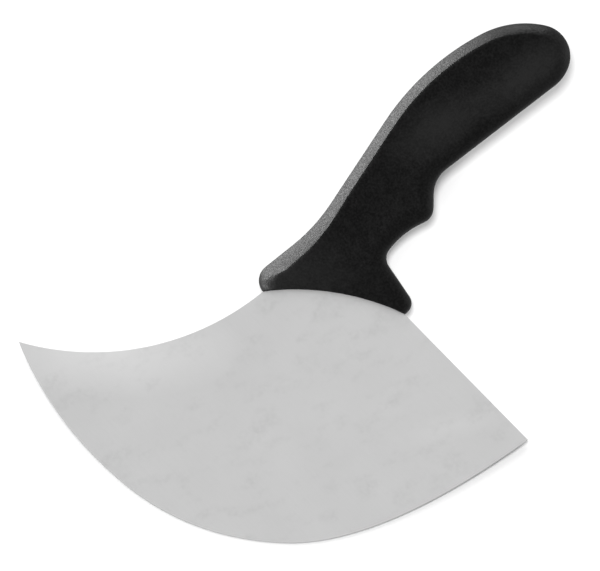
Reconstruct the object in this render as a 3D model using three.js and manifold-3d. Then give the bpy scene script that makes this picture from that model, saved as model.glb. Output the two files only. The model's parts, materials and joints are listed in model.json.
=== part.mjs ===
// Half-moon pizza knife: a stainless blade with a hidden tang, a moulded core round the tang and a moulded
// grip. Millimetres. The knife is drawn flat, X along the bolster line, Y towards the butt, Z out of the
// blade's face, with its zero at the middle of the bolster line. It is then laid on its side, as on a table,
// with +Z up.
import * as THREE from "three";
import { mergeVertices } from "three/addons/utils/BufferGeometryUtils.js";
import Module from "manifold-3d";

const point = (x, y) => new THREE.Vector2(x, y);
const place = ({ x, y }) => point(x, y);
const { clamp, lerp, smoothstep } = THREE.MathUtils;

// Blade plate: its length along the bolster line, and how far its tip lies from the middle of that line
const BLADE_THICKNESS = 2;
const BLADE_LENGTH = 221.6;
const TIP_REACH = 130.4;
const TIP_DROP = 37.7;
const HEEL_DROP = 44.7;
const BACK_HOLLOW = 13;

// Three points that pull the cutting edge out: one seen from the tip, the belly, and one seen from the heel
const TIP_PULL = { x: 18.6, y: -30.8 };
const BELLY_PULL = { x: -45.7, y: -109.6 };
const HEEL_PULL = { x: -55.6, y: -55.2 };

// Ground bevel of the cutting edge, on each face, and the flat land that it leaves
const EDGE_BEVEL = 1.2;
const EDGE_LAND = 0.3;

// Bolster line, where the handle meets the blade: an arch that rises towards the handle
const BOLSTER_WIDTH = 62;
const BOLSTER_RISE = 4.4;

// Handle outline: the corners of straight runs, each with the radius of the arc that rounds it
const TIP_SIDE_GUARD = { x: -35.7, y: 5.8, radius: 7.5 };
const SPINE_HOLLOW = { x: -13.1, y: 30.6, radius: 78 };
const SPINE_SWELL = { x: 20.9, y: 105.8, radius: 112 };
const SHOULDER = { x: 55.4, y: 131.8, radius: 41 };
const BUTT_TOP = { x: 87.4, y: 130.3, radius: 13.5 };
const BUTT_FOOT = { x: 81.2, y: 109.3, radius: 18 };
const BELLY_HOLLOW = { x: 33.7, y: 59, radius: 14 };
const FINGER_BUMP = { x: 36.25, y: 42.35, radius: 6.8 };
const FINGER_HOLLOW = { x: 24.5, y: 34.7, radius: 38 };
const FINGER_NOTCH = { x: 17.7, y: 22.4, radius: 5.9 };
const HEEL_SIDE_GUARD = { x: 34.2, y: 4.9, radius: 5 };

// Middle line of the handle, from just below the bolster into the butt, and where the butt starts on it
const AXIS_BELOW = 8;
const AXIS_AT_NOTCH = { x: 2, y: 28 };
const AXIS_AT_BUMP = { x: 17, y: 57 };
const AXIS_AT_PALM = { x: 42, y: 96 };
const AXIS_END = { x: 62, y: 110 };
const BUTT_START = 124;

// Handle sections: thickness at both ends, and the easing of the long edges of each face, wider on the spine
// near its guard and round at the guard's end
const BOLSTER_THICKNESS = 17;
const PALM_THICKNESS = 23;
const PALM_DISTANCE = 100;
const GUARD_END_EDGE = { width: 8.5, drop: 6.6, fullness: 2 };
const GUARD_EDGE = { width: 7, drop: 6.4, fullness: 1.06 };
const SPINE_EDGE = { width: 4.4, drop: 4.4, fullness: 1.06 };
const BELLY_EDGE = { width: 6.8, drop: 6, fullness: 2 };
const GUARD_END_REACH = 10;
const GUARD_REACH = 45;
const FACE_DISH = 0.5;

// Tang, core and fits
const TANG_RELIEF = 0.2;
const TANG_ROOT_WIDTH = 38;
const TANG_STRAP_WIDTH = 14;
const TANG_FLARE = 36;
const TANG_LENGTH = 92;
const TANG_HOLE_DIAMETER = 6;
const TANG_HOLE_COUNT = 3;
const TANG_HOLE_PITCH = 19;
const TANG_HOLE_END = 9;
const GRIP_WALL = 4.5;
const FRONT_WALL = 5;
const CORE_END_WALL = 12;
const PEG_ROOT = 1;
const FIT_GAP = 0.3;

// Fineness of the facets
const CURVE_SEGMENTS = 16;
const OUTLINE_SEGMENTS = 24;
const SECTION_STEP = 3;
const CORE_STEP = 6;
const BUTT_RINGS = 10;
const FACE_STEPS = 2;
const EASING_STEPS = 4;

// Lengths that only carry a cutting shape well past what it cuts
const OVERRUN = 20;
const GRIND_REACH = 1.5;

// Limits that keep the easing of the edges inside a narrow or slanting section
const LEAST_SQUARENESS = 0.5;
const EDGE_SHARE = 0.8;

// Fineness of the search for the tilt at which the knife lies, and of the welding of corners
const STEEPEST_SLOPE = 1;
const TILT_HALVINGS = 40;
const WELD = 1e-4;

const BLADE_TIP = point(-TIP_REACH, -TIP_DROP);
const HEEL_CORNER = point(BLADE_LENGTH - TIP_REACH, -HEEL_DROP);
const EDGE_NEAR_TIP = place(TIP_PULL).add(BLADE_TIP);
const EDGE_NEAR_HEEL = place(HEEL_PULL).add(HEEL_CORNER);
const TANG_THICKNESS = BLADE_THICKNESS - 2 * TANG_RELIEF;
const CORE_LENGTH = TANG_LENGTH + CORE_END_WALL;

const wasm = await Module();
wasm.setup();

function toSolid(geometry) {
  const bare = geometry.clone();
  bare.deleteAttribute("normal");
  bare.deleteAttribute("uv");
  const merged = mergeVertices(bare, WELD);
  return new wasm.Manifold(
    new wasm.Mesh({
      numProp: 3,
      vertProperties: new Float32Array(merged.attributes.position.array),
      triVerts: new Uint32Array(merged.index.array),
    }),
  );
}

function toGeometry(solid) {
  const mesh = solid.getMesh();
  const geometry = new THREE.BufferGeometry();
  geometry.setAttribute("position", new THREE.BufferAttribute(mesh.vertProperties, 3));
  geometry.setIndex(new THREE.BufferAttribute(mesh.triVerts, 1));
  geometry.computeVertexNormals();
  return geometry;
}

// A flat shape as a plate of the given thickness, centred on the blade's mid plane.
function plate(shape, thickness) {
  const settings = { depth: thickness, bevelEnabled: false, curveSegments: CURVE_SEGMENTS };
  return toSolid(new THREE.ExtrudeGeometry(shape, settings).translate(0, 0, -thickness / 2));
}

// The arch of the bolster line belongs to one circle, centred below it on the Y axis.
const ARCH_RADIUS = (BOLSTER_WIDTH ** 2 / 4 + BOLSTER_RISE ** 2) / (2 * BOLSTER_RISE);
const ARCH_CENTRE = point(0, BOLSTER_RISE - ARCH_RADIUS);

// Adds the arch, raised by the given amount, from heel side to tip side, and returns its tip-side end.
function addArch(path, raise, halfWidth) {
  const radius = ARCH_RADIUS + raise;
  const spread = Math.asin(clamp(halfWidth / radius, 0, 1));
  path.absarc(ARCH_CENTRE.x, ARCH_CENTRE.y, radius, Math.PI / 2 - spread, Math.PI / 2 + spread, false);
  return point(-radius * Math.sin(spread), ARCH_CENTRE.y + radius * Math.cos(spread));
}

// Everything on the blade's side of the arch, with the arch raised by the given amount.
function belowArch(raise) {
  const halfWidth = BOLSTER_WIDTH / 2 + OVERRUN;
  const shape = new THREE.Shape();
  addArch(shape, raise, halfWidth);
  shape.lineTo(-halfWidth, -BOLSTER_WIDTH);
  shape.lineTo(halfWidth, -BOLSTER_WIDTH);
  return plate(shape, BOLSTER_THICKNESS + PALM_THICKNESS);
}

// Adds the cutting edge from the tip to the heel corner.
function addCuttingEdge(path) {
  const pulls = [EDGE_NEAR_TIP, place(BELLY_PULL), EDGE_NEAR_HEEL];
  pulls.forEach((pull, i) => {
    const next = pulls[i + 1];
    const stop = next ? pull.clone().add(next).multiplyScalar(0.5) : HEEL_CORNER;
    path.quadraticCurveTo(pull.x, pull.y, stop.x, stop.y);
  });
}

// Adds the hollowed back, an arc that bows into the blade, from the bolster to the tip.
function addBack(path, start) {
  const chord = BLADE_TIP.clone().sub(start);
  const radius = (chord.lengthSq() / 4 + BACK_HOLLOW ** 2) / (2 * BACK_HOLLOW);
  const inward = point(-chord.y, chord.x).normalize();
  const middle = start.clone().add(BLADE_TIP).multiplyScalar(0.5);
  const centre = middle.addScaledVector(inward, BACK_HOLLOW - radius);
  const first = start.clone().sub(centre).angle();
  const last = BLADE_TIP.clone().sub(centre).angle();
  path.absarc(centre.x, centre.y, radius, first, last, true);
}

// The plate with its seat under the bolster arch.
function bladePlate() {
  const shape = new THREE.Shape();
  shape.moveTo(BLADE_TIP.x, BLADE_TIP.y);
  addCuttingEdge(shape);
  addBack(shape, addArch(shape, -FIT_GAP, BOLSTER_WIDTH / 2));
  return plate(shape, BLADE_THICKNESS);
}

// What the grinding wheel leaves: a body bevelled to the edge's land along the cutting edge, which runs
// straight on past the tip and the heel, and open everywhere else.
function grindBody() {
  const bevel = EDGE_BEVEL * GRIND_REACH;
  const rise = ((BLADE_THICKNESS - EDGE_LAND) / 2) * GRIND_REACH;
  const beyondTip = BLADE_TIP.clone().sub(EDGE_NEAR_TIP).setLength(OVERRUN).add(BLADE_TIP);
  const beyondHeel = HEEL_CORNER.clone().sub(EDGE_NEAR_HEEL).setLength(OVERRUN).add(HEEL_CORNER);
  const top = BOLSTER_RISE + OVERRUN;
  const shape = new THREE.Shape();
  shape.moveTo(beyondTip.x, beyondTip.y);
  shape.lineTo(BLADE_TIP.x, BLADE_TIP.y);
  addCuttingEdge(shape);
  shape.lineTo(beyondHeel.x, beyondHeel.y);
  shape.lineTo(beyondHeel.x, top);
  shape.lineTo(beyondTip.x, top);
  const settings = {
    depth: EDGE_LAND,
    bevelThickness: rise,
    bevelSize: bevel,
    bevelOffset: -bevel,
    bevelSegments: 1,
    curveSegments: CURVE_SEGMENTS,
  };
  return toSolid(new THREE.ExtrudeGeometry(shape, settings).translate(0, 0, -EDGE_LAND / 2));
}

const AXIS_START = { x: 0, y: -AXIS_BELOW };
const AXIS_STOPS = [AXIS_START, AXIS_AT_NOTCH, AXIS_AT_BUMP, AXIS_AT_PALM, AXIS_END];
const axis = new THREE.SplineCurve(AXIS_STOPS.map(place));
const AXIS_LENGTH = axis.getLength() - AXIS_BELOW;

// A place on the handle's middle line, at a distance from the bolster line, with the ways on and across.
function onAxis(distance) {
  const share = clamp((distance + AXIS_BELOW) / (AXIS_LENGTH + AXIS_BELOW), 0, 1);
  const along = axis.getTangentAt(share);
  return { at: axis.getPointAt(share), along, across: point(along.y, -along.x) };
}

function tangHalfWidth(distance) {
  return lerp(TANG_ROOT_WIDTH, TANG_STRAP_WIDTH, smoothstep(distance, 0, TANG_FLARE)) / 2;
}

// The tang is a strap along the handle's middle line, flared at its root and round at its end. The gap
// makes it wider all round.
function tangShape(gap) {
  const roundStart = TANG_LENGTH - TANG_STRAP_WIDTH / 2;
  const steps = Math.ceil((roundStart + AXIS_BELOW) / SECTION_STEP);
  const places = Array.from({ length: steps + 1 }, (_, i) => lerp(-AXIS_BELOW, roundStart, i / steps));
  const edge = (distance, side) => {
    const { at, across } = onAxis(distance);
    return at.clone().addScaledVector(across, side * (tangHalfWidth(distance) + gap));
  };
  const end = onAxis(roundStart);
  const square = end.across.angle();
  const shape = new THREE.Shape(places.map((distance) => edge(distance, 1)));
  shape.absarc(end.at.x, end.at.y, TANG_STRAP_WIDTH / 2 + gap, square, square + Math.PI, false);
  places.reverse().forEach((distance) => {
    const stop = edge(distance, -1);
    shape.lineTo(stop.x, stop.y);
  });
  return shape;
}

// The round holes along the tang, or the pegs that fill them, as circles of the given radius.
function tangCircles(radius) {
  return Array.from({ length: TANG_HOLE_COUNT }, (_, i) => {
    const { at } = onAxis(TANG_LENGTH - TANG_HOLE_END - i * TANG_HOLE_PITCH);
    return new THREE.Shape().absarc(at.x, at.y, radius, 0, 2 * Math.PI, false);
  });
}

function tang() {
  const shape = tangShape(0);
  shape.holes = tangCircles(TANG_HOLE_DIAMETER / 2);
  return plate(shape, TANG_THICKNESS);
}

// The slot that the tang needs in what surrounds it.
function tangSlot() {
  return plate(tangShape(FIT_GAP), TANG_THICKNESS + 2 * FIT_GAP);
}

// Straight runs between corners, each corner rounded by its own arc. Where two arcs need more than their run
// has, both are drawn tighter until they meet.
function roundedRun(start, corners, end) {
  const stops = [start, ...corners.map(place), end];
  const runs = stops.slice(1).map((stop, i) => stop.clone().sub(stops[i]));
  const turns = corners.map((_, i) => {
    const turn = runs[i + 1].angle() - runs[i].angle();
    return Math.atan2(Math.sin(turn), Math.cos(turn));
  });
  const cuts = corners.map((corner, i) => corner.radius * Math.tan(Math.abs(turns[i]) / 2));
  const room = runs.map((run, i) => {
    const wanted = (cuts[i - 1] ?? 0) + (cuts[i] ?? 0);
    return Math.min(1, run.length() / wanted);
  });
  const path = new THREE.Path();
  path.moveTo(start.x, start.y);
  corners.forEach((corner, i) => {
    const scale = Math.min(room[i], room[i + 1]);
    const radius = corner.radius * scale;
    const side = Math.sign(turns[i]);
    const heading = runs[i].angle();
    const from = place(corner).addScaledVector(runs[i].clone().normalize(), -cuts[i] * scale);
    const centre = point(-Math.sin(heading), Math.cos(heading)).multiplyScalar(side * radius).add(from);
    const first = heading - (side * Math.PI) / 2;
    path.absarc(centre.x, centre.y, radius, first, first + turns[i], side < 0);
  });
  path.lineTo(end.x, end.y);
  return path;
}

// The handle's outline as a fine line, from the tip-side guard over the spine and the butt to the heel-side
// guard. Both ends run on below the bolster, where they are cut off.
function handleOutline() {
  const runOn = (corner, x) => {
    const seat = point(x, 0);
    return seat.clone().sub(place(corner)).setLength(OVERRUN).add(seat);
  };
  const corners = [
    TIP_SIDE_GUARD,
    SPINE_HOLLOW,
    SPINE_SWELL,
    SHOULDER,
    BUTT_TOP,
    BUTT_FOOT,
    BELLY_HOLLOW,
    FINGER_BUMP,
    FINGER_HOLLOW,
    FINGER_NOTCH,
    HEEL_SIDE_GUARD,
  ];
  const start = runOn(TIP_SIDE_GUARD, -BOLSTER_WIDTH / 2);
  const end = runOn(HEEL_SIDE_GUARD, BOLSTER_WIDTH / 2);
  return roundedRun(start, corners, end).getPoints(OUTLINE_SEGMENTS);
}

const outline = handleOutline();

// The place on the outline at a position counted in its points, with the outline's direction there.
function onOutline(position) {
  const i = clamp(Math.floor(position), 0, outline.length - 2);
  const along = outline[i + 1].clone().sub(outline[i]);
  return { at: outline[i].clone().addScaledVector(along, position - i), along: along.normalize(), position };
}

// The nearest place where a line from inside the handle, going the given way, meets the outline.
function meetOutline(from, way) {
  let nearest = { reach: Infinity, position: 0 };
  for (let i = 0; i < outline.length - 1; i++) {
    const side = outline[i + 1].clone().sub(outline[i]);
    const offset = outline[i].clone().sub(from);
    const cross = way.cross(side);
    const reach = offset.cross(side) / cross;
    const share = offset.cross(way) / cross;
    if (share >= 0 && share <= 1 && reach > 0 && reach < nearest.reach) {
      nearest = { reach, position: i + share };
    }
  }
  return onOutline(nearest.position);
}

function halfThickness(distance) {
  return lerp(BOLSTER_THICKNESS, PALM_THICKNESS, smoothstep(distance, 0, PALM_DISTANCE)) / 2;
}

function mixEdges(first, second, share) {
  return {
    width: lerp(first.width, second.width, share),
    drop: lerp(first.drop, second.drop, share),
    fullness: lerp(first.fullness, second.fullness, share),
  };
}

function spineEdge(distance) {
  const guardEdge = mixEdges(GUARD_END_EDGE, GUARD_EDGE, smoothstep(distance, 0, GUARD_END_REACH));
  return mixEdges(guardEdge, SPINE_EDGE, smoothstep(distance, 0, GUARD_REACH));
}

// A square section across the handle at a distance from the bolster line.
function squareSection(distance) {
  const { at, across } = onAxis(distance);
  const spine = { ...meetOutline(at, across.clone().negate()), edge: spineEdge(distance) };
  const belly = { ...meetOutline(at, across), edge: BELLY_EDGE };
  const middle = spine.at.clone().add(belly.at).multiplyScalar(0.5);
  return { spine, belly, middle, half: halfThickness(distance) };
}

// A section of the butt: it bends at its middle, both ends run on along the outline until they meet, and the
// easing of one edge passes into that of the other.
function buttSection(last, share) {
  const meeting = (last.spine.position + last.belly.position) / 2;
  const spine = onOutline(lerp(last.spine.position, meeting, share));
  const belly = onOutline(lerp(last.belly.position, meeting, share));
  spine.edge = mixEdges(last.spine.edge, last.belly.edge, share / 2);
  belly.edge = mixEdges(last.spine.edge, last.belly.edge, 1 - share / 2);
  return { ...last, spine, belly };
}

// The corner between a side wall and a face, from wall to face: how far in, and how far below the face.
function easing(edge, width, drop) {
  const power = 2 / edge.fullness;
  return Array.from({ length: EASING_STEPS + 1 }, (_, i) => {
    const turn = (i / EASING_STEPS) * (Math.PI / 2);
    return [width * (1 - Math.cos(turn) ** power), drop * (1 - Math.sin(turn) ** power)];
  });
}

// Half of a section's upper side, from the outline almost to the section's middle. The long edge is eased
// over its own width, square to the outline, and the face is slightly dished. An inset draws it that far
// inside.
function upperHalf(end, middle, half, inset) {
  const across = middle.clone().sub(end.at);
  const way = across.clone().normalize();
  const slant = 1 / Math.max(Math.abs(end.along.cross(way)), LEAST_SQUARENESS);
  const start = end.at.clone().addScaledVector(way, inset * slant);
  const reach = across.length() - inset * slant;
  const height = half - inset;
  const width = Math.min(end.edge.width * slant, EDGE_SHARE * reach);
  const corner = easing(end.edge, width, Math.min(end.edge.drop, EDGE_SHARE * height));
  const face = Array.from({ length: FACE_STEPS - 1 }, (_, i) => {
    const share = (i + 1) / FACE_STEPS;
    return [lerp(width, reach, share), height - FACE_DISH * share * (2 - share)];
  });
  const profile = [[0, 0], ...corner.map(([inwards, down]) => [inwards, height - down]), ...face];
  return profile.map(([inwards, z]) => {
    const at = start.clone().addScaledVector(way, inwards);
    return new THREE.Vector3(at.x, at.y, z);
  });
}

// The ring of points round one section: over its upper side from spine to belly, and back over its underside.
function sectionRing({ spine, belly, middle, half }, inset) {
  const crown = new THREE.Vector3(middle.x, middle.y, half - inset - FACE_DISH);
  const spineSide = upperHalf(spine, middle, half, inset);
  const bellySide = upperHalf(belly, middle, half, inset).reverse();
  const top = [...spineSide, crown, ...bellySide];
  const underside = top.slice(1, -1).reverse();
  return [...top, ...underside.map(({ x, y, z }) => new THREE.Vector3(x, y, -z))];
}

function middleOf(ring) {
  return ring.reduce((sum, corner) => sum.add(corner), new THREE.Vector3()).divideScalar(ring.length);
}

// A closed skin over a run of sections. Each end is closed on one point, unless the last ring is folded up.
function loft(sections, inset, folded) {
  const rings = sections.map((section) => sectionRing(section, inset));
  const count = rings[0].length;
  const lastRing = rings.length - 1;
  const corners = [...rings.flat(), middleOf(rings[0]), middleOf(rings[lastRing])];
  const foot = count * rings.length;
  const index = [];
  const addTriangle = (...triangle) => {
    const [a, b, c] = triangle.map((i) => corners[i]);
    if (!a.equals(b) && !b.equals(c) && !c.equals(a)) {
      index.push(...triangle);
    }
  };
  for (let i = 0; i < count; i++) {
    const j = (i + 1) % count;
    for (let k = 0; k < lastRing; k++) {
      const here = k * count;
      const next = here + count;
      addTriangle(here + i, here + j, next + j);
      addTriangle(here + i, next + j, next + i);
    }
    addTriangle(foot, j, i);
    if (!folded) {
      addTriangle(foot + 1, lastRing * count + i, lastRing * count + j);
    }
  }
  const geometry = new THREE.BufferGeometry().setFromPoints(corners);
  return toSolid(geometry.setIndex(index));
}

function squareSections(end, step) {
  const steps = Math.ceil((end + AXIS_BELOW) / step);
  return Array.from({ length: steps + 1 }, (_, i) => squareSection(lerp(-AXIS_BELOW, end, i / steps)));
}

// The whole handle, run on below the bolster.
function handleBody() {
  const square = squareSections(BUTT_START, SECTION_STEP);
  const butt = Array.from({ length: BUTT_RINGS }, (_, i) => buttSection(square.at(-1), (i + 1) / BUTT_RINGS));
  return loft([...square, ...butt], 0, true);
}

// The core's outside, or with a gap the room that the grip leaves for it.
function coreBody(gap) {
  const body = loft(squareSections(CORE_LENGTH + gap, CORE_STEP), GRIP_WALL - gap, false);
  return body.subtract(belowArch(FRONT_WALL - gap));
}

function makeBlade() {
  return bladePlate().intersect(grindBody()).add(tang());
}

function makeCore() {
  const pegLength = TANG_THICKNESS + 2 * (FIT_GAP + PEG_ROOT);
  const pegs = tangCircles(TANG_HOLE_DIAMETER / 2 - FIT_GAP).map((circle) => plate(circle, pegLength));
  return pegs.reduce((core, peg) => core.add(peg), coreBody(0).subtract(tangSlot()));
}

function makeGrip() {
  return handleBody().subtract(belowArch(0)).subtract(coreBody(FIT_GAP)).subtract(tangSlot());
}

// The tilt at which the knife lies on its side: the blade's edge and the bolster reach equally low.
function restTilt(blade, grip) {
  const lowest = (geometry, slope) => {
    const corners = geometry.getAttribute("position");
    let low = Infinity;
    for (let i = 0; i < corners.count; i++) {
      low = Math.min(low, corners.getZ(i) + slope * corners.getY(i));
    }
    return low;
  };
  let gentle = 0;
  let steep = STEEPEST_SLOPE;
  for (let i = 0; i < TILT_HALVINGS; i++) {
    const slope = (gentle + steep) / 2;
    if (lowest(blade, slope) > lowest(grip, slope)) {
      gentle = slope;
    } else {
      steep = slope;
    }
  }
  return Math.atan(steep);
}

const satinSteel = new THREE.MeshStandardMaterial({ color: 0xc8c8c6, roughness: 0.38, metalness: 1 });
const corePlastic = new THREE.MeshStandardMaterial({ color: 0x2b2b2c, roughness: 0.55, metalness: 0 });
const grainedPlastic = new THREE.MeshStandardMaterial({ color: 0x1a1a1b, roughness: 0.62, metalness: 0 });

function named(name, solid, material) {
  const mesh = new THREE.Mesh(toGeometry(solid), material);
  mesh.name = name;
  return mesh;
}

const blade = named("blade", makeBlade(), satinSteel);
const core = named("handle_core", makeCore(), corePlastic);
const grip = named("handle_grip", makeGrip(), grainedPlastic);

// The knife lies on its side, with its zero under the middle of its bounding box.
const lying = new THREE.Group().add(blade, core, grip);
lying.rotation.x = restTilt(blade.geometry, grip.geometry);
const box = new THREE.Box3().setFromObject(lying, true);
const middle = box.getCenter(new THREE.Vector3());
lying.position.set(-middle.x, -middle.y, -box.min.z);

const knife = new THREE.Group().add(lying);

export default knife;
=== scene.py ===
"""Half-moon pizza knife: fine meshes, finishes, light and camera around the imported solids.

The frame is in metres with +Z up. The knife is drawn flat, in millimetres, with X along the bolster line,
Y towards the butt and Z out of the blade's face, and is then laid where the frame says that it lies.
"""

import json
import logging
import math
from dataclasses import dataclass, field
from enum import Enum
from typing import NamedTuple

import bmesh
import bpy
import numpy as np
from mathutils import Matrix, Vector


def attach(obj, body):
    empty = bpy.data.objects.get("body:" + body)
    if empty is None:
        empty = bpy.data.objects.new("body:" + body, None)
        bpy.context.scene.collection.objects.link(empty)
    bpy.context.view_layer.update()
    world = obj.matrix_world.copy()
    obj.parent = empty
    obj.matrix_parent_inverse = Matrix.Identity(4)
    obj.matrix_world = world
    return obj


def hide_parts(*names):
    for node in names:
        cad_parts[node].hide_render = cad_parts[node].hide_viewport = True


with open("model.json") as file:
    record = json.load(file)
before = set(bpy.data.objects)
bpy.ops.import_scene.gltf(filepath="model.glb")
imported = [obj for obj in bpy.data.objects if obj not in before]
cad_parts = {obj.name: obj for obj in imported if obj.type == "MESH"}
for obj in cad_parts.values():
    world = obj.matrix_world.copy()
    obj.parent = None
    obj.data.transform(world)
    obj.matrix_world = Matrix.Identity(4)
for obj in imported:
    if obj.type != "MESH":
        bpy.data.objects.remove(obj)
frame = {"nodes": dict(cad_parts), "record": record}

log = logging.getLogger("pizza_knife")

MM = 0.001
WELD = 1e-7
LEAST_STEP = 1e-9
BODY = "root"

Pair = tuple[float, float]
Triple = tuple[float, float, float]
Socket = bpy.types.NodeSocket

# The range that most values of a random pattern fall in
PATTERN_RANGE: Pair = (0.3, 0.7)


class Point(NamedTuple):
    """A place in the flat drawing, in millimetres."""

    x: float
    y: float


class Corner(NamedTuple):
    """A corner between two straight runs of an outline, with the radius that rounds it, in millimetres."""

    x: float
    y: float
    radius: float


class Edge(NamedTuple):
    """How a long edge of the handle is eased: width across the face, drop down the wall, and roundness."""

    width: float
    drop: float
    fullness: float

    def towards(self, other: "Edge", share: float) -> "Edge":
        """The edge that lies a share of the way to another."""
        return Edge(*[mine + (theirs - mine) * share for mine, theirs in zip(self, other)])


class RayKind(Enum):
    """The kinds of ray that see the plain studio background instead of its light."""

    CAMERA = "Is Camera Ray"
    GLOSSY = "Is Glossy Ray"
    TRANSMISSION = "Is Transmission Ray"


@dataclass(frozen=True)
class Lie:
    """Where the flat-drawn knife lies in the frame."""

    to_frame: Matrix

    @classmethod
    def from_mount(cls, mount: dict, drawn: Vector) -> "Lie":
        """Finds the place from a mount on the blade's face.

        Args:
            mount: The record's mount, with its point and its outward direction.
            drawn: The same point in the flat drawing, in millimetres.

        Returns:
            The place of the whole drawing.
        """
        normal = Vector(mount["axis"])
        lean = math.atan2(-normal.y, normal.z)
        turn = Matrix.Rotation(lean, 4, "X") @ Matrix.Scale(MM, 4)
        return cls(Matrix.Translation(Vector(mount["pos_m"]) - turn @ drawn) @ turn)

    def place(self, points: np.ndarray) -> np.ndarray:
        """Moves drawn points into the frame.

        Args:
            points: Rows of x, y and z in millimetres.

        Returns:
            The same rows in metres, in the frame.
        """
        matrix = np.array(self.to_frame)
        return points @ matrix[:3, :3].T + matrix[:3, 3]


def add_to_scene(name: str, data: bpy.types.ID) -> bpy.types.Object:
    """Makes an object.

    Args:
        name: The object's name.
        data: Its mesh, lamp or camera.

    Returns:
        The new object, in the scene.
    """
    made = bpy.data.objects.new(name, data)
    bpy.context.scene.collection.objects.link(made)
    return made


def make_piece(name: str, points: np.ndarray, faces: list[tuple[int, ...]]) -> bpy.types.Object:
    """Makes a smooth-shaded mesh object and adds it to the scene.

    Args:
        name: The piece's name.
        points: Rows of x, y and z in the frame, in metres.
        faces: The corners of each face, as row numbers.

    Returns:
        The new object.
    """
    mesh = bpy.data.meshes.new(name)
    mesh.from_pydata(points.tolist(), [], faces)
    shell = bmesh.new()
    shell.from_mesh(mesh)
    bmesh.ops.remove_doubles(shell, verts=shell.verts, dist=WELD)
    shell.to_mesh(mesh)
    shell.free()
    mesh.validate()
    mesh.shade_smooth()
    return add_to_scene(name, mesh)


def quadratic(start: Point, pull: Point, stop: Point, count: int) -> np.ndarray:
    """Draws a curve that leaves start and reaches stop, pulled towards a point between them.

    Args:
        start: Where the curve begins.
        pull: The point that the curve bends towards.
        stop: Where the curve ends.
        count: The number of points.

    Returns:
        Rows of x and y.
    """
    t = np.linspace(0, 1, count)[:, None]
    return (1 - t) ** 2 * np.array(start) + 2 * t * (1 - t) * np.array(pull) + t**2 * np.array(stop)


def arc(centre: np.ndarray, radius: float, first: float, turn: float, count: int) -> np.ndarray:
    """Draws an arc.

    Args:
        centre: The arc's centre.
        radius: The arc's radius.
        first: The angle at which it starts, in radians.
        turn: How far it turns, anticlockwise if positive.
        count: The number of points.

    Returns:
        Rows of x and y.
    """
    angles = first + np.linspace(0, turn, count)
    return centre + radius * np.column_stack([np.cos(angles), np.sin(angles)])


def smoothstep(value: float) -> float:
    """Eases a value from 0 to 1."""
    share = min(max(value, 0.0), 1.0)
    return share * share * (3 - 2 * share)


class Line:
    """A fine open line of points that can be followed by its length, and run on straight past its ends."""

    def __init__(self, points: np.ndarray) -> None:
        """Measures the line.

        Args:
            points: Rows of x and y, in order.
        """
        steps = np.diff(points, axis=0)
        lengths = np.linalg.norm(steps, axis=1)
        keep = np.concatenate([[True], lengths > LEAST_STEP])
        self.points = points[keep]
        ways = np.diff(self.points, axis=0)
        spans = np.linalg.norm(ways, axis=1)
        ways /= spans[:, None]
        self.reach = np.concatenate([[0.0], np.cumsum(spans)])
        middle = ways[:-1] + ways[1:]
        self.ways = np.vstack([ways[:1], middle / np.linalg.norm(middle, axis=1)[:, None], ways[-1:]])

    @property
    def length(self) -> float:
        """The line's length."""
        return float(self.reach[-1])

    def at(self, distance: np.ndarray) -> np.ndarray:
        """Finds places along the line.

        Args:
            distance: Distances from the start; those past an end run straight on.

        Returns:
            Rows of x and y.
        """
        inside = np.clip(distance, 0, self.length)
        place = np.column_stack([np.interp(inside, self.reach, self.points[:, i]) for i in range(2)])
        return place + (distance - inside)[:, None] * self.way(distance)

    def way(self, distance: np.ndarray) -> np.ndarray:
        """Finds the line's direction.

        Args:
            distance: Distances from the start.

        Returns:
            Rows of unit vectors.
        """
        way = np.column_stack([np.interp(distance, self.reach, self.ways[:, i]) for i in range(2)])
        return way / np.linalg.norm(way, axis=1)[:, None]

    def inside(self, distance: np.ndarray) -> np.ndarray:
        """The direction square to the line, on its left, at distances from the start."""
        way = self.way(distance)
        return np.column_stack([-way[:, 1], way[:, 0]])


@dataclass(frozen=True)
class BolsterLine:
    """The arch where the handle meets the blade, rising towards the handle."""

    width: float = 62.0
    rise: float = 4.4

    @property
    def radius(self) -> float:
        """The radius of the arch's circle."""
        return (self.width**2 / 4 + self.rise**2) / (2 * self.rise)

    @property
    def centre(self) -> np.ndarray:
        """The centre of the arch's circle, below the arch."""
        return np.array([0.0, self.rise - self.radius])

    def points(self, lift: float, from_x: float, to_x: float, count: int) -> np.ndarray:
        """Draws part of the arch.

        Args:
            lift: How far the arch is raised towards the handle.
            from_x: Where the part starts along the bolster line.
            to_x: Where it ends.
            count: The number of points.

        Returns:
            Rows of x and y.
        """
        radius = self.radius + lift
        first = math.acos(from_x / radius)
        return arc(self.centre, radius, first, math.acos(to_x / radius) - first, count)

    def height(self, points: np.ndarray) -> np.ndarray:
        """How far points lie above the arch, on the handle's side."""
        return np.linalg.norm(points[..., :2] - self.centre, axis=-1) - self.radius


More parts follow.
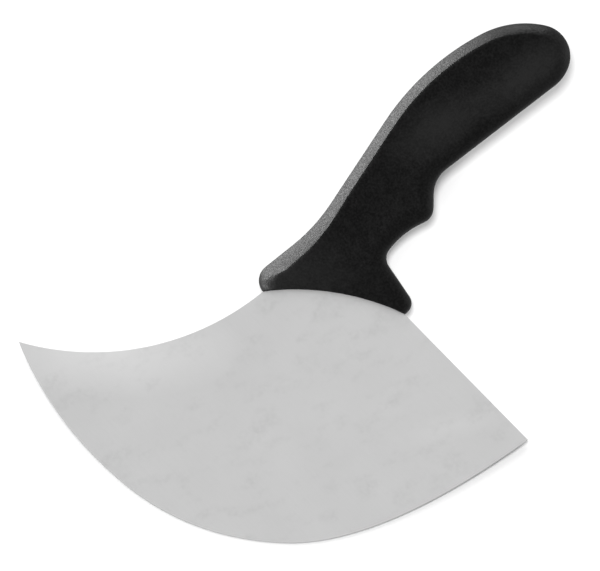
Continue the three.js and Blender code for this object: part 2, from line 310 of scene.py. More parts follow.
@dataclass(frozen=True)
class MiddleLine:
    """The handle's middle line, from just below the bolster into the butt."""

    below: float = 8.0
    at_notch: Point = Point(2, 28)
    at_bump: Point = Point(17, 57)
    at_palm: Point = Point(42, 96)
    end: Point = Point(62, 110)
    fineness: int = 400

    def line(self) -> Line:
        """Draws the smooth line through the stops.

        Returns:
            The line, which starts below the bolster.
        """
        stops = np.array([Point(0, -self.below), self.at_notch, self.at_bump, self.at_palm, self.end])
        spread = np.vstack([stops[:1], stops, stops[-1:]])
        t = np.linspace(0, 1, self.fineness)[:, None]
        runs = []
        for before, start, stop, after in zip(spread, spread[1:], spread[2:], spread[3:]):
            leave, arrive = (stop - before) / 2, (after - start) / 2
            curl = 2 * (start - stop) + leave + arrive
            bend = -3 * (start - stop) - 2 * leave - arrive
            runs.append(curl * t**3 + bend * t**2 + leave * t + start)
        return Line(np.vstack(runs))


@dataclass(frozen=True)
class Tang:
    """The strap of the blade that runs up inside the handle, with its keying holes."""

    root_width: float = 38.0
    strap_width: float = 14.0
    flare: float = 36.0
    length: float = 92.0
    hole_diameter: float = 6.0
    hole_count: int = 3
    hole_pitch: float = 19.0
    hole_end: float = 9.0
    steps: int = 40
    round_steps: int = 24

    def half_width(self, distance: float) -> float:
        """Half the strap's width at a distance from the bolster line."""
        share = smoothstep(distance / self.flare)
        return (self.root_width + (self.strap_width - self.root_width) * share) / 2

    def outline(self, middle: MiddleLine) -> np.ndarray:
        """Draws the strap from its heel side round its end to its tip side.

        Args:
            middle: The handle's middle line.

        Returns:
            Rows of x and y.
        """
        line = middle.line()
        stop = self.length - self.strap_width / 2
        distance = np.linspace(0, stop, self.steps)
        half = np.array([self.half_width(d) for d in distance])[:, None]
        place = line.at(distance + middle.below)
        side = line.inside(distance + middle.below) * half
        square = math.atan2(-side[-1, 1], -side[-1, 0])
        end = arc(place[-1], self.strap_width / 2, square, math.pi, self.round_steps)
        return np.vstack([place - side, end[1:-1], (place + side)[::-1]])

    def holes(self, middle: MiddleLine) -> list[np.ndarray]:
        """Draws the holes, each as a circle.

        Args:
            middle: The handle's middle line.

        Returns:
            One set of rows of x and y for each hole.
        """
        places = self.length - self.hole_end - self.hole_pitch * np.arange(self.hole_count) + middle.below
        round_once = 2 * math.pi * (1 - 1 / self.round_steps)
        return [
            arc(place, self.hole_diameter / 2, 0, round_once, self.round_steps)
            for place in middle.line().at(places)
        ]


class EdgeKind(Enum):
    """How an edge of the plate is finished."""

    GROUND = "ground to the cutting edge"
    BROKEN = "stamped, with its corners broken"


@dataclass
class Blade:
    """The stamped stainless plate: ground cutting edge, hollowed back, straight heel and hidden tang."""

    bolster: BolsterLine
    middle: MiddleLine
    tang: Tang = field(default_factory=Tang)
    thickness: float = 2.0
    length: float = 221.6
    tip_reach: float = 130.4
    tip_drop: float = 37.7
    heel_drop: float = 44.7
    back_hollow: float = 13.0
    tip_pull: Point = Point(18.6, -30.8)
    belly_pull: Point = Point(-45.7, -109.6)
    heel_pull: Point = Point(-55.6, -55.2)
    edge_bevel: float = 1.2
    edge_land: float = 0.3
    edge_roll: float = 2.0
    corner_break: float = 0.25
    seat_gap: float = 0.3
    seat_depth: float = 0.6
    flat_margin: float = 0.5
    edge_steps: int = 6
    ground_steps: int = 2
    ground_slot: int = 1
    curve_steps: int = 120
    seat_steps: int = 30
    outline_step: float = 1.2
    crease_angle: float = math.radians(40)
    mount_at: Point = Point(-20, -55)

    @property
    def tip(self) -> Point:
        """The blade's tip."""
        return Point(-self.tip_reach, -self.tip_drop)

    @property
    def heel(self) -> Point:
        """The corner between the cutting edge and the heel."""
        return Point(self.length - self.tip_reach, -self.heel_drop)

    @property
    def face_mount(self) -> Vector:
        """The point of the mount on the blade's face, in the flat drawing."""
        return Vector((*self.mount_at, self.thickness / 2))

    def cutting_edge(self) -> np.ndarray:
        """Draws the cutting edge from the tip to the heel corner.

        Returns:
            Rows of x and y.
        """
        pulls = [
            np.array(self.tip) + self.tip_pull,
            np.array(self.belly_pull),
            np.array(self.heel) + self.heel_pull,
        ]
        halfway = [(first + second) / 2 for first, second in zip(pulls, pulls[1:])]
        joints = [np.array(self.tip), *halfway, np.array(self.heel)]
        curves = zip(joints, pulls, joints[1:])
        return np.vstack([quadratic(*curve, self.curve_steps) for curve in curves])

    def seat(self) -> np.ndarray:
        """Draws the hidden part from the heel side to the tip side: the seat in the handle and the tang.

        Returns:
            Rows of x and y.
        """
        half = self.bolster.width / 2
        sunk = half - self.seat_depth
        strap = self.tang.outline(self.middle)
        strap = strap[self.bolster.height(strap) > self.seat_depth]
        ends = self.bolster.points(-self.seat_gap, half, -half, 2)
        heel_side = self.bolster.points(self.seat_depth, sunk, strap[0, 0], self.seat_steps)
        tip_side = self.bolster.points(self.seat_depth, strap[-1, 0], -sunk, self.seat_steps)
        return np.vstack([ends[:1], heel_side, strap, tip_side, ends[1:]])

    def back(self, start: np.ndarray) -> np.ndarray:
        """Draws the hollowed back from the bolster to the tip.

        Args:
            start: The tip-side end of the seat.

        Returns:
            Rows of x and y.
        """
        chord = np.array(self.tip) - start
        radius = (chord @ chord / 4 + self.back_hollow**2) / (2 * self.back_hollow)
        inward = np.array([-chord[1], chord[0]]) / np.linalg.norm(chord)
        centre = (start + self.tip) / 2 + inward * (self.back_hollow - radius)
        first = math.atan2(*(start - centre)[::-1])
        last = math.atan2(*(np.array(self.tip) - centre)[::-1])
        turn = math.remainder(last - first, 2 * math.pi)
        return arc(centre, radius, first, turn, self.curve_steps)

    def runs(self) -> list[tuple[Line, EdgeKind]]:
        """Draws the plate's outline, anticlockwise from the tip.

        Returns:
            Each run of the outline, with the finish of its edge.
        """
        edge = self.cutting_edge()
        seat = self.seat()
        return [
            (Line(edge), EdgeKind.GROUND),
            (Line(np.vstack([edge[-1:], seat[:1]])), EdgeKind.BROKEN),
            (Line(seat), EdgeKind.BROKEN),
            (Line(self.back(seat[-1])), EdgeKind.BROKEN),
        ]

    def edge_section(self, kind: EdgeKind) -> np.ndarray:
        """Draws the upper half of an edge's section, from the flat face to the middle of the plate.

        Args:
            kind: The finish of the edge.

        Returns:
            Rows of distance in from the outline and height above the middle plane.
        """
        share = np.linspace(0, 1, self.edge_steps + 1)
        top = self.thickness / 2
        if kind is EdgeKind.GROUND:
            inset = self.edge_bevel * (1 - share)
            height = top - (top - self.edge_land / 2) * share**self.edge_roll
        else:
            turn = share * math.pi / 2
            inset = self.corner_break * (1 - np.sin(turn))
            height = top - self.corner_break * (1 - np.cos(turn))
        flat = [inset[0] + self.flat_margin, top]
        return np.vstack([flat, np.column_stack([inset, height])])

    def ring(self, runs: list[tuple[Line, EdgeKind]], level: int) -> np.ndarray:
        """Draws one ring round the plate, inset from each run by what its edge's section says.

        Args:
            runs: The runs of the outline.
            level: The row of the edge sections.

        Returns:
            Rows of x, y and z.
        """
        sections = {kind: self.edge_section(kind)[level] for kind in EdgeKind}
        rows = []
        for i, (line, kind) in enumerate(runs):
            before, before_kind = runs[i - 1]
            after, after_kind = runs[(i + 1) % len(runs)]
            inset, height = sections[kind]
            start = self.corner_shift(before, line, sections[before_kind][0], inset)[1]
            stop = line.length - self.corner_shift(line, after, inset, sections[after_kind][0])[0]
            count = math.ceil(line.length / self.outline_step)
            distance = np.linspace(start, stop, count + 1)[:-1]
            place = line.at(distance) + line.inside(distance) * inset
            heights = np.full(count, height)
            heights[0] = min(height, sections[before_kind][1])
            rows.append(np.column_stack([place, heights]))
        return np.vstack(rows)

    @staticmethod
    def corner_shift(before: Line, after: Line, before_inset: float, after_inset: float) -> Pair:
        """Finds where two runs, each inset by its own amount, meet.

        Args:
            before: The run that ends at the corner.
            after: The run that starts there.
            before_inset: The first run's inset.
            after_inset: The second run's inset.

        Returns:
            How far before the corner the first run stops, and how far after it the second starts.
        """
        (ax, ay), (bx, by) = before.ways[-1], after.ways[0]
        cosine, sine = ax * bx + ay * by, ax * by - ay * bx
        return (after_inset - before_inset * cosine) / sine, (before_inset - after_inset * cosine) / sine

    def build(self, lie: Lie) -> bpy.types.Object:
        """Makes the blade's mesh.

        Args:
            lie: Where the knife lies.

        Returns:
            The blade.
        """
        runs = self.runs()
        levels = self.edge_steps + 2
        upper = [self.ring(runs, level) for level in range(levels)]
        lower = [ring * (1, 1, -1) for ring in reversed(upper)]
        top = self.thickness / 2
        holes = [
            [np.column_stack([hole, np.full(len(hole), z)]) for z in (top, -top)]
            for hole in self.tang.holes(self.middle)
        ]
        shell = bmesh.new()
        walls = [self.wall(shell, rings, lie) for rings in [upper + lower, *holes]]
        self.mark_ground(shell, math.ceil(runs[0][0].length / self.outline_step), len(upper[0]), levels)
        for end in (0, -1):
            rim = [edge for loops in walls for edge in loops[end]]
            bmesh.ops.triangle_fill(shell, use_beauty=True, use_dissolve=False, edges=rim)
        bmesh.ops.recalc_face_normals(shell, faces=shell.faces)
        mesh = bpy.data.meshes.new("blade_plate")
        shell.to_mesh(mesh)
        shell.free()
        mesh.shade_smooth()
        mesh.set_sharp_from_angle(angle=self.crease_angle)
        return add_to_scene("blade_plate", mesh)

    def mark_ground(self, shell: bmesh.types.BMesh, edge_count: int, around: int, levels: int) -> None:
        """Gives the outer steps of the cutting edge's bevel, on both faces, to the ground finish and its
        painted shade.

        Args:
            shell: The mesh, with the plate's outer wall as its first faces.
            edge_count: The number of columns along the cutting edge.
            around: The number of columns in a ring.
            levels: The number of rings on each face.
        """
        shell.faces.ensure_lookup_table()
        for row in range(levels - 1 - self.ground_steps, levels + self.ground_steps):
            for column in range(1, edge_count + 1):
                shell.faces[row * around + column % around].material_index = self.ground_slot

    @staticmethod
    def wall(shell: bmesh.types.BMesh, rings: list[np.ndarray], lie: Lie) -> list[list[bmesh.types.BMEdge]]:
        """Adds a wall of quads through a run of closed rings.

        Args:
            shell: The mesh that the wall is added to.
            rings: Rings of equally many points, in order.
            lie: Where the knife lies.

        Returns:
            The edges of the first ring and of the last.
        """
        loops = [[shell.verts.new(place) for place in lie.place(ring)] for ring in rings]
        for above, below in zip(loops, loops[1:]):
            for i in range(len(above)):
                shell.faces.new((above[i - 1], below[i - 1], below[i], above[i]))
        return [
            [shell.edges.get((loop[i - 1], loop[i])) for i in range(len(loop))]
            for loop in (loops[0], loops[-1])
        ]

    def dress(self, piece: bpy.types.Object, finish: "SatinSteel", ground: "GroundSteelAndShade") -> None:
        """Gives the blade its finishes and its place in the frame.

        Args:
            piece: The blade.
            finish: The finish of its faces, with painted highlights.
            ground: The finish of its cutting edge, darkened in part by painted shade.
        """
        piece.data.materials.append(finish.material())
        piece.data.materials.append(ground.material())
        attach(piece, BODY)
        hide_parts("blade")


class End(NamedTuple):
    """One end of a section across the handle: its place and direction on the outline, and its edge."""

    distance: float
    at: np.ndarray
    way: np.ndarray
    edge: Edge


class Section(NamedTuple):
    """A section across the handle: its two ends on the outline, its middle and half its thickness."""

    spine: End
    belly: End
    middle: np.ndarray
    half: float


@dataclass
class Handle:
    """The grained outer moulding, with its guard, finger notch, bump, palm swell and round butt."""

    bolster: BolsterLine
    middle: MiddleLine
    tip_side_guard: Corner = Corner(-35.7, 5.8, 7.5)
    spine_hollow: Corner = Corner(-13.1, 30.6, 78)
    spine_swell: Corner = Corner(20.9, 105.8, 112)
    shoulder: Corner = Corner(55.4, 131.8, 41)
    butt_top: Corner = Corner(87.4, 130.3, 13.5)
    butt_foot: Corner = Corner(81.2, 109.3, 18)
    belly_hollow: Corner = Corner(33.7, 59, 14)
    finger_bump: Corner = Corner(36.25, 42.35, 6.8)
    finger_hollow: Corner = Corner(24.5, 34.7, 38)
    finger_notch: Corner = Corner(17.7, 22.4, 5.9)
    heel_side_guard: Corner = Corner(34.2, 4.9, 5)
    bolster_thickness: float = 17.0
    palm_thickness: float = 23.0
    palm_distance: float = 100.0
    guard_end_edge: Edge = Edge(8.5, 6.6, 2.0)
    guard_edge: Edge = Edge(7.0, 6.4, 1.06)
    spine_edge: Edge = Edge(4.4, 4.4, 1.06)
    belly_edge: Edge = Edge(6.8, 6.0, 2.0)
    guard_end_reach: float = 10.0
    guard_reach: float = 45.0
    butt_start: float = 124.0
    face_dish: float = 0.5
    front_round: float = 0.5
    witness_depth: float = 0.1
    witness_half_width: float = 0.3
    witness_margin: float = 0.9
    run_on: float = 20.0
    least_squareness: float = 0.5
    edge_share: float = 0.8
    arc_steps: int = 48
    easing_steps: int = 10
    face_steps: int = 8
    ring_step: float = 1.0
    butt_rings: int = 40
    front_reach: float = 16.0
    front_rings: int = 16
    front_samples: int = 120
    round_steps: int = 4

    def outline(self) -> Line:
        """Draws the outline from the tip-side guard over the spine and the butt to the heel-side guard.

        Returns:
            The outline, which runs on below the bolster at both ends.
        """
        corners = [
            self.tip_side_guard,
            self.spine_hollow,
            self.spine_swell,
            self.shoulder,
            self.butt_top,
            self.butt_foot,
            self.belly_hollow,
            self.finger_bump,
            self.finger_hollow,
            self.finger_notch,
            self.heel_side_guard,
        ]
        turning = [corner[:2] for corner in corners]
        stops = np.array([self.below(corners[0], -1), *turning, self.below(corners[-1], 1)])
        steps = np.diff(stops, axis=0)
        headings = np.arctan2(steps[:, 1], steps[:, 0])
        turns = [math.remainder(turn, 2 * math.pi) for turn in np.diff(headings)]
        cuts = [corner.radius * math.tan(abs(turn) / 2) for corner, turn in zip(corners, turns)]
        wanted = np.array([0.0, *cuts]) + np.array([*cuts, 0.0])
        room = np.minimum(1, np.linalg.norm(steps, axis=1) / wanted)
        rows = [stops[:1]]
        for i, corner in enumerate(corners):
            scale = min(room[i], room[i + 1])
            side = math.copysign(1, turns[i])
            on = np.array([math.cos(headings[i]), math.sin(headings[i])])
            left = np.array([-on[1], on[0]])
            centre = stops[i + 1] - on * cuts[i] * scale + left * side * corner.radius * scale
            first = headings[i] - side * math.pi / 2
            rows.append(arc(centre, corner.radius * scale, first, turns[i], self.arc_steps))
        return Line(np.vstack([*rows, stops[-1:]]))

    def below(self, corner: Corner, side: int) -> np.ndarray:
        """Runs the outline on from a guard past the bolster line.

        Args:
            corner: The guard's corner.
            side: -1 on the tip side and 1 on the heel side.

        Returns:
            The end of the run.
        """
        seat = np.array([side * self.bolster.width / 2, 0.0])
        way = seat - corner[:2]
        return seat + way * self.run_on / np.linalg.norm(way)

    @staticmethod
    def meet(outline: Line, start: np.ndarray, way: np.ndarray) -> float:
        """Finds where a straight line from inside the handle meets the outline.

        Args:
            outline: The handle's outline.
            start: Where the line starts.
            way: Its direction.

        Returns:
            The nearest meeting place, as a distance along the outline.
        """
        sides = np.diff(outline.points, axis=0)
        offset = outline.points[:-1] - start
        cross = way[0] * sides[:, 1] - way[1] * sides[:, 0]
        reach = (offset[:, 0] * sides[:, 1] - offset[:, 1] * sides[:, 0]) / cross
        share = (offset[:, 0] * way[1] - offset[:, 1] * way[0]) / cross
        hit = (share >= 0) & (share <= 1) & (reach > 0)
        nearest = int(np.argmin(np.where(hit, reach, np.inf)))
        return float(outline.reach[nearest] + share[nearest] * np.linalg.norm(sides[nearest]))

    def half_thickness(self, distance: float) -> float:
        """Half the handle's thickness at a distance from the bolster line."""
        swell = self.palm_thickness - self.bolster_thickness
        return (self.bolster_thickness + swell * smoothstep(distance / self.palm_distance)) / 2

    def easing(self, edge: Edge, width: float, height: float) -> np.ndarray:
        """Draws the corner between a side wall and a face, from the wall to the face.

        Args:
            edge: How the edge is eased.
            width: Its width in this section.
            height: Half the section's thickness.

        Returns:
            Rows of distance in from the wall and height above the middle plane.
        """
        drop = min(edge.drop, self.edge_share * height)
        turn = np.linspace(0, math.pi / 2, self.easing_steps + 1)
        power = 2 / edge.fullness
        along, up = np.abs(np.cos(turn)) ** power, np.abs(np.sin(turn)) ** power
        return np.column_stack([width * (1 - along), height - drop * (1 - up)])

    def upper_half(self, end: End, section: Section) -> np.ndarray:
        """Draws half of a section's upper side, from the outline almost to the section's middle.

        Args:
            end: The section's end on the outline.
            section: The section.

        Returns:
            Rows of x, y and z.
        """
        across = section.middle - end.at
        reach = float(np.linalg.norm(across))
        way = across / reach
        slant = 1 / max(abs(end.way[0] * way[1] - end.way[1] * way[0]), self.least_squareness)
        width = min(end.edge.width * slant, self.edge_share * reach)
        share = np.linspace(0, 1, self.face_steps + 1)[1:-1]
        dish = self.face_dish * share * (2 - share)
        profile = np.vstack([
            [self.witness_depth, 0],
            [0, self.witness_half_width],
            [0, self.witness_margin],
            self.easing(end.edge, width, section.half),
            np.column_stack([width + (reach - width) * share, section.half - dish]),
        ])
        return np.column_stack([end.at + profile[:, :1] * way, profile[:, 1]])

    def ring(self, section: Section) -> np.ndarray:
        """Draws the ring round one section.

        Args:
            section: The section.

        Returns:
            Rows of x, y and z: over the upper side from spine to belly, and back over the underside.
        """
        spine_side = self.upper_half(section.spine, section)
        crown = np.append(section.middle, section.half - self.face_dish)
        belly_side = self.upper_half(section.belly, section)[::-1]
        top = np.vstack([spine_side, crown, belly_side])
        return np.vstack([top, top[-2:0:-1] * (1, 1, -1)])

    def square_section(self, outline: Line, middle: Line, distance: float) -> Section:
        """Draws the section square to the middle line at a distance from the bolster line.

        Args:
            outline: The handle's outline.
            middle: The handle's middle line.
            distance: The distance from the bolster line.

        Returns:
            The section.
        """
        reach = np.array([distance + self.middle.below])
        at, left = middle.at(reach)[0], middle.inside(reach)[0]
        guard_edge = self.guard_end_edge.towards(self.guard_edge, smoothstep(distance / self.guard_end_reach))
        spine_edge = guard_edge.towards(self.spine_edge, smoothstep(distance / self.guard_reach))
        spine = self.end(outline, self.meet(outline, at, left), spine_edge)
        belly = self.end(outline, self.meet(outline, at, -left), self.belly_edge)
        return Section(spine, belly, (spine.at + belly.at) / 2, self.half_thickness(distance))

    @staticmethod
    def end(outline: Line, distance: float, edge: Edge) -> End:
        """The end of a section at a distance along the outline."""
        place = np.array([distance])
        return End(distance, outline.at(place)[0], outline.way(place)[0], edge)

    def front_rows(self, outline: Line, middle: Line) -> list[np.ndarray]:
        """Draws the rings next to the bolster, which ease from the arch's shape to a square section.

        Args:
            outline: The handle's outline.
            middle: The handle's middle line.

        Returns:
            The rings, from the front face towards the butt.
        """
        distance = np.linspace(-self.middle.below, self.front_reach, self.front_samples)
        grid = np.stack([self.ring(self.square_section(outline, middle, d)) for d in distance])
        height = self.bolster.height(grid)
        columns = range(grid.shape[1])

        def lifted(lift: float, share: float) -> np.ndarray:
            """Draws a ring between the arch and the square section.

            Args:
                lift: How far the arch is raised.
                share: The share of the way on to the square section.

            Returns:
                Rows of x, y and z.
            """
            start = np.array([np.interp(lift, height[:, i], distance) for i in columns])
            place = start + (self.front_reach - start) * share
            rows = [[np.interp(place[i], distance, grid[:, i, k]) for k in range(3)] for i in columns]
            return np.array(rows)

        first = lifted(self.front_round, 0)
        around = np.roll(first, -1, axis=0) - np.roll(first, 1, axis=0)
        outward = np.cross(around, middle.way(np.array([self.middle.below])).tolist()[0] + [0.0])
        outward /= np.linalg.norm(outward, axis=1)[:, None]
        rows = []
        for turn in np.linspace(math.pi / 2, 0, self.round_steps + 1)[:-1]:
            inset = self.front_round * (1 - math.cos(turn))
            rows.append(lifted(self.front_round * (1 - math.sin(turn)), 0) - outward * inset)
        return rows + [lifted(self.front_round, i / self.front_rings) for i in range(self.front_rings)]

    def butt_rows(self, outline: Line, last: Section) -> list[np.ndarray]:
        """Draws the rings of the butt, which bend at their middle until both their ends meet.

        Args:
            outline: The handle's outline.
            last: The last square section.

        Returns:
            The rings; the last is folded up.
        """
        first, second = last.spine, last.belly
        meeting = (first.distance + second.distance) / 2
        rows = []
        for i in range(1, self.butt_rings + 1):
            share = i / self.butt_rings
            spine_edge = first.edge.towards(second.edge, share / 2)
            belly_edge = first.edge.towards(second.edge, 1 - share / 2)
            spine = self.end(outline, first.distance + (meeting - first.distance) * share, spine_edge)
            belly = self.end(outline, second.distance + (meeting - second.distance) * share, belly_edge)
            rows.append(self.ring(last._replace(spine=spine, belly=belly)))
        return rows

    def build(self, lie: Lie) -> bpy.types.Object:
        """Makes the grip's mesh.

        Args:
            lie: Where the knife lies.

        Returns:
            The grip.
        """
        outline, middle = self.outline(), self.middle.line()
        count = math.ceil((self.butt_start - self.front_reach) / self.ring_step)
        places = np.linspace(self.front_reach, self.butt_start, count + 1)
        square = [self.square_section(outline, middle, distance) for distance in places]
        rows = self.front_rows(outline, middle)
        rows += [self.ring(section) for section in square]
        rows += self.butt_rows(outline, square[-1])
        around = len(rows[0])
        faces = []
        for i in range(around):
            j = (i + 1) % around
            for base in range(0, (len(rows) - 1) * around, around):
                faces.append((base + i, base + j, base + around + j, base + around + i))
        for i in range(around // 2):
            under, under_next = (around - i) % around, around - i - 1
            faces.append(tuple(dict.fromkeys((under, under_next, i + 1, i))))
        return make_piece("grip_moulding", lie.place(np.vstack(rows)), faces)

    def dress(self, piece: bpy.types.Object, finish: "GrainedPlastic") -> None:
        """Gives the grip its finish and its place in the frame.

        Args:
            piece: The grip.
            finish: Its finish, with painted sheen.
        """
        piece.data.materials.append(finish.material())
        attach(piece, BODY)
        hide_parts("handle_grip")


class Pattern(NamedTuple):
    """A soft random pattern: the number of its features in a metre, and how many finer layers it has."""

    scale: float
    detail: float


class Patch(NamedTuple):
    """A soft oval patch on a face: its middle and half lengths in metres, its turn and its share."""

    middle: Pair
    reach: Pair
    turn: float
    share: float


class Bench:
    """Lays out and joins the nodes of one material."""

    # The colour sockets of a mix node, which share their names with sockets of other kinds
    MIX_FIRST = 6
    MIX_SECOND = 7
    MIX_RESULT = 2

    def __init__(self, name: str) -> None:
        """Starts an empty material.

        Args:
            name: The material's name.
        """
        self.material = bpy.data.materials.new(name)
        self.material.use_nodes = True
        self.tree = self.material.node_tree
        self.tree.nodes.clear()
        self.place = self.add("ShaderNodeTexCoord").outputs["Object"]

    def add(self, kind: str, **settings: object) -> bpy.types.Node:
        """Adds a node.

        Args:
            kind: The node's type.
            settings: The node's own settings.

        Returns:
            The node.
        """
        node = self.tree.nodes.new(kind)
        for label, value in settings.items():
            setattr(node, label, value)
        return node

    def feed(self, node: bpy.types.Node, **values: object) -> bpy.types.Node:
        """Sets or joins a node's inputs.

        Args:
            node: The node.
            values: A value or another node's output for each input, named with _ for each space.

        Returns:
            The same node.
        """
        for label, value in values.items():
            socket = node.inputs[label.replace("_", " ")]
            if isinstance(value, Socket):
                self.tree.links.new(value, socket)
            else:
                socket.default_value = value
        return node

    def stretched(self, turn: float, stretch: Triple) -> Socket:
        """Turns the coordinates about Z and stretches them, for marks that run one way.

        Args:
            turn: The turn in radians.
            stretch: The scale along each axis.

        Returns:
            The new coordinates.
        """
        turned = self.feed(self.add("ShaderNodeMapping"), Vector=self.place, Rotation=(0, 0, turn))
        scaled = self.add("ShaderNodeVectorMath", operation="MULTIPLY")
        self.tree.links.new(turned.outputs["Vector"], scaled.inputs[0])
        scaled.inputs[1].default_value = stretch
        return scaled.outputs["Vector"]

    def along(self) -> Socket:
        """Measures how far a place lies along X, in metres."""
        return self.feed(self.add("ShaderNodeSeparateXYZ"), Vector=self.place).outputs["X"]

    def noise(self, where: Socket, pattern: Pattern) -> Socket:
        """Adds a soft random pattern.

        Args:
            where: The coordinates.
            pattern: The pattern.

        Returns:
            The pattern's value, around a half.
        """
        node = self.add("ShaderNodeTexNoise")
        return self.feed(node, Vector=where, Scale=pattern.scale, Detail=pattern.detail).outputs["Fac"]

    def spread(self, value: Socket, source: Pair, target: Pair) -> Socket:
        """Maps one range of a pattern to another, without going past its ends.

        Args:
            value: The pattern.
            source: The lowest and highest value that count.
            target: What they become.

        Returns:
            The mapped value.
        """
        node = self.feed(
            self.add("ShaderNodeMapRange"),
            Value=value,
            From_Min=source[0],
            From_Max=source[1],
            To_Min=target[0],
            To_Max=target[1],
        )
        return node.outputs["Result"]

    def sway(self, value: Socket, middle: float, half: float) -> Socket:
        """Turns a pattern into a value that sways by up to a half width about a middle."""
        return self.spread(value, PATTERN_RANGE, (middle - half, middle + half))

    def tint(self, share: Socket, first: Triple, second: Triple) -> Socket:
        """Blends two colours by a pattern.

        Args:
            share: The pattern, from 0 to 1.
            first: The colour at 0.
            second: The colour at 1.

        Returns:
            The blended colour.
        """
        node = self.add("ShaderNodeMix", data_type="RGBA")
        self.tree.links.new(share, node.inputs["Factor"])
        node.inputs[self.MIX_FIRST].default_value = (*first, 1)
        node.inputs[self.MIX_SECOND].default_value = (*second, 1)
        return node.outputs[self.MIX_RESULT]

    def patch(self, patch: Patch) -> Socket:
        """Adds a soft oval patch.

        Args:
            patch: The patch.

        Returns:
            The patch's share at its middle, fading to 0.
        """
        node = self.feed(
            self.add("ShaderNodeMapping", vector_type="TEXTURE"),
            Vector=self.place,
            Location=(*patch.middle, 0),
            Rotation=(0, 0, patch.turn),
            Scale=(*patch.reach, 1),
        )
        oval = self.add("ShaderNodeTexGradient", gradient_type="SPHERICAL")
        self.tree.links.new(node.outputs["Vector"], oval.inputs["Vector"])
        return self.spread(oval.outputs["Fac"], (0, 1), (0, patch.share))

    def combine(self, operation: str, first: Socket, second: Socket) -> Socket:
        """Works out one value from two.

        Args:
            operation: The arithmetic.
            first: The first value.
            second: The second value.

        Returns:
            The result.
        """
        node = self.add("ShaderNodeMath", operation=operation)
        self.tree.links.new(first, node.inputs[0])
        self.tree.links.new(second, node.inputs[1])
        return node.outputs["Value"]

    def sum(self, first: Socket, second: Socket) -> Socket:
        """Adds two patterns."""
        return self.combine("ADD", first, second)

    def product(self, first: Socket, second: Socket) -> Socket:
        """Multiplies two patterns."""
        return self.combine("MULTIPLY", first, second)

    def relief(self, height: Socket, depth: float, strength: float) -> Socket:
        """Turns a pattern into a fine relief.

        Args:
            height: The pattern.
            depth: The relief's depth in metres.
            strength: How strongly it shows.

        Returns:
            The relief's normals.
        """
        node = self.feed(self.add("ShaderNodeBump"), Height=height, Distance=depth, Strength=strength)
        return node.outputs["Normal"]

    def finish(self, **values: object) -> bpy.types.Material:
        """Adds the surface itself and closes the material.

        Args:
            values: The surface's inputs, named with _ for each space.

        Returns:
            The material.
        """
        surface = self.feed(self.add("ShaderNodeBsdfPrincipled"), **values)
        output = self.add("ShaderNodeOutputMaterial")
        self.tree.links.new(surface.outputs["BSDF"], output.inputs["Surface"])
        return self.material


@dataclass(frozen=True)
class SatinSteel:
    """Stainless sheet with fine satin marks, faint clouds and specks, and painted highlights beside the back
    and near the heel.
    """

    pale: Triple = (0.75, 0.75, 0.75)
    dull: Triple = (0.54, 0.54, 0.54)
    shade: float = 0.22
    # Painted highlights: a paler oval beside the hollowed back and a faint pale streak near the heel,
    # standing in for reflections
    painted_highlight_by_back: Patch = Patch((-0.0713, -0.0475), (0.0590, 0.0215), math.radians(9), 0.6)
    painted_highlight_near_heel: Patch = Patch((0.0792, -0.0563), (0.030, 0.007), math.radians(25), 0.14)
    cloud: Pattern = Pattern(45, 5)
    cloud_share: float = 0.05
    stain_turn: float = math.radians(-35)
    stain_stretch: Triple = (1.0, 1.8, 1.0)
    stain: Pattern = Pattern(80, 3)
    stain_range: Pair = (0.5, 0.74)
    specks: Pattern = Pattern(500, 4)
    speck_range: Pair = (0.3, 0.75)
    stain_share: float = -0.34
    roughness: float = 0.36
    roughness_spread: float = 0.05
    brush_turn: float = math.radians(35)
    brush_stretch: Triple = (1.0, 26.0, 1.0)
    brush: Pattern = Pattern(160, 3)
    brush_share: float = 0.05
    brush_depth: float = 2e-6
    brush_strength: float = 0.12

    def material(self) -> bpy.types.Material:
        """Makes the material.

        Returns:
            The material.
        """
        bench = Bench("satin_steel")
        cloud = bench.noise(bench.place, self.cloud)
        brush = bench.noise(bench.stretched(self.brush_turn, self.brush_stretch), self.brush)
        stain = bench.noise(bench.stretched(self.stain_turn, self.stain_stretch), self.stain)
        specks = bench.noise(bench.place, self.specks)
        stained = bench.product(
            bench.spread(stain, self.stain_range, (0, 1)),
            bench.spread(specks, self.speck_range, (0, self.stain_share)),
        )
        layers = [
            bench.sway(cloud, self.shade, self.cloud_share),
            bench.sway(brush, 0, self.brush_share),
            stained,
            # The two patches below paint highlights into the colour
            bench.patch(self.painted_highlight_by_back),
            bench.patch(self.painted_highlight_near_heel),
        ]
        shade = layers[0]
        for layer in layers[1:]:
            shade = bench.sum(shade, layer)
        return bench.finish(
            Base_Color=bench.tint(shade, self.dull, self.pale),
            Metallic=1.0,
            Roughness=bench.sway(brush, self.roughness, self.roughness_spread),
            Normal=bench.relief(brush, self.brush_depth, self.brush_strength),
        )


@dataclass(frozen=True)
class GroundSteelAndShade:
    """The ground cutting edge, with marks along it; its darker colour, most so at the heel, is painted shade
    for the steep bevel and the shadow there.
    """

    pale: Triple = (0.56, 0.56, 0.56)
    dull: Triple = (0.46, 0.46, 0.46)
    # Painted shade: the colour darkens along X towards the heel, where the shadow falls
    reach: Pair = (-0.11, 0.10)
    shade: Pair = (0.85, 0.15)
    marks: Pattern = Pattern(900, 2)
    mark_share: float = 0.15
    mark_depth: float = 3e-6
    mark_strength: float = 0.3
    roughness: float = 0.3

    def material(self) -> bpy.types.Material:
        """Makes the material.

        Returns:
            The material.
        """
        bench = Bench("ground_steel_and_shade")
        marks = bench.noise(bench.place, self.marks)
        # Painted shade darkening towards the heel, plus the edge's own marks
        shade = bench.sum(
            bench.spread(bench.along(), self.reach, self.shade),
            bench.sway(marks, 0, self.mark_share),
        )
        return bench.finish(
            Base_Color=bench.tint(shade, self.dull, self.pale),
            Metallic=1.0,
            Roughness=self.roughness,
            Normal=bench.relief(marks, self.mark_depth, self.mark_strength),
        )


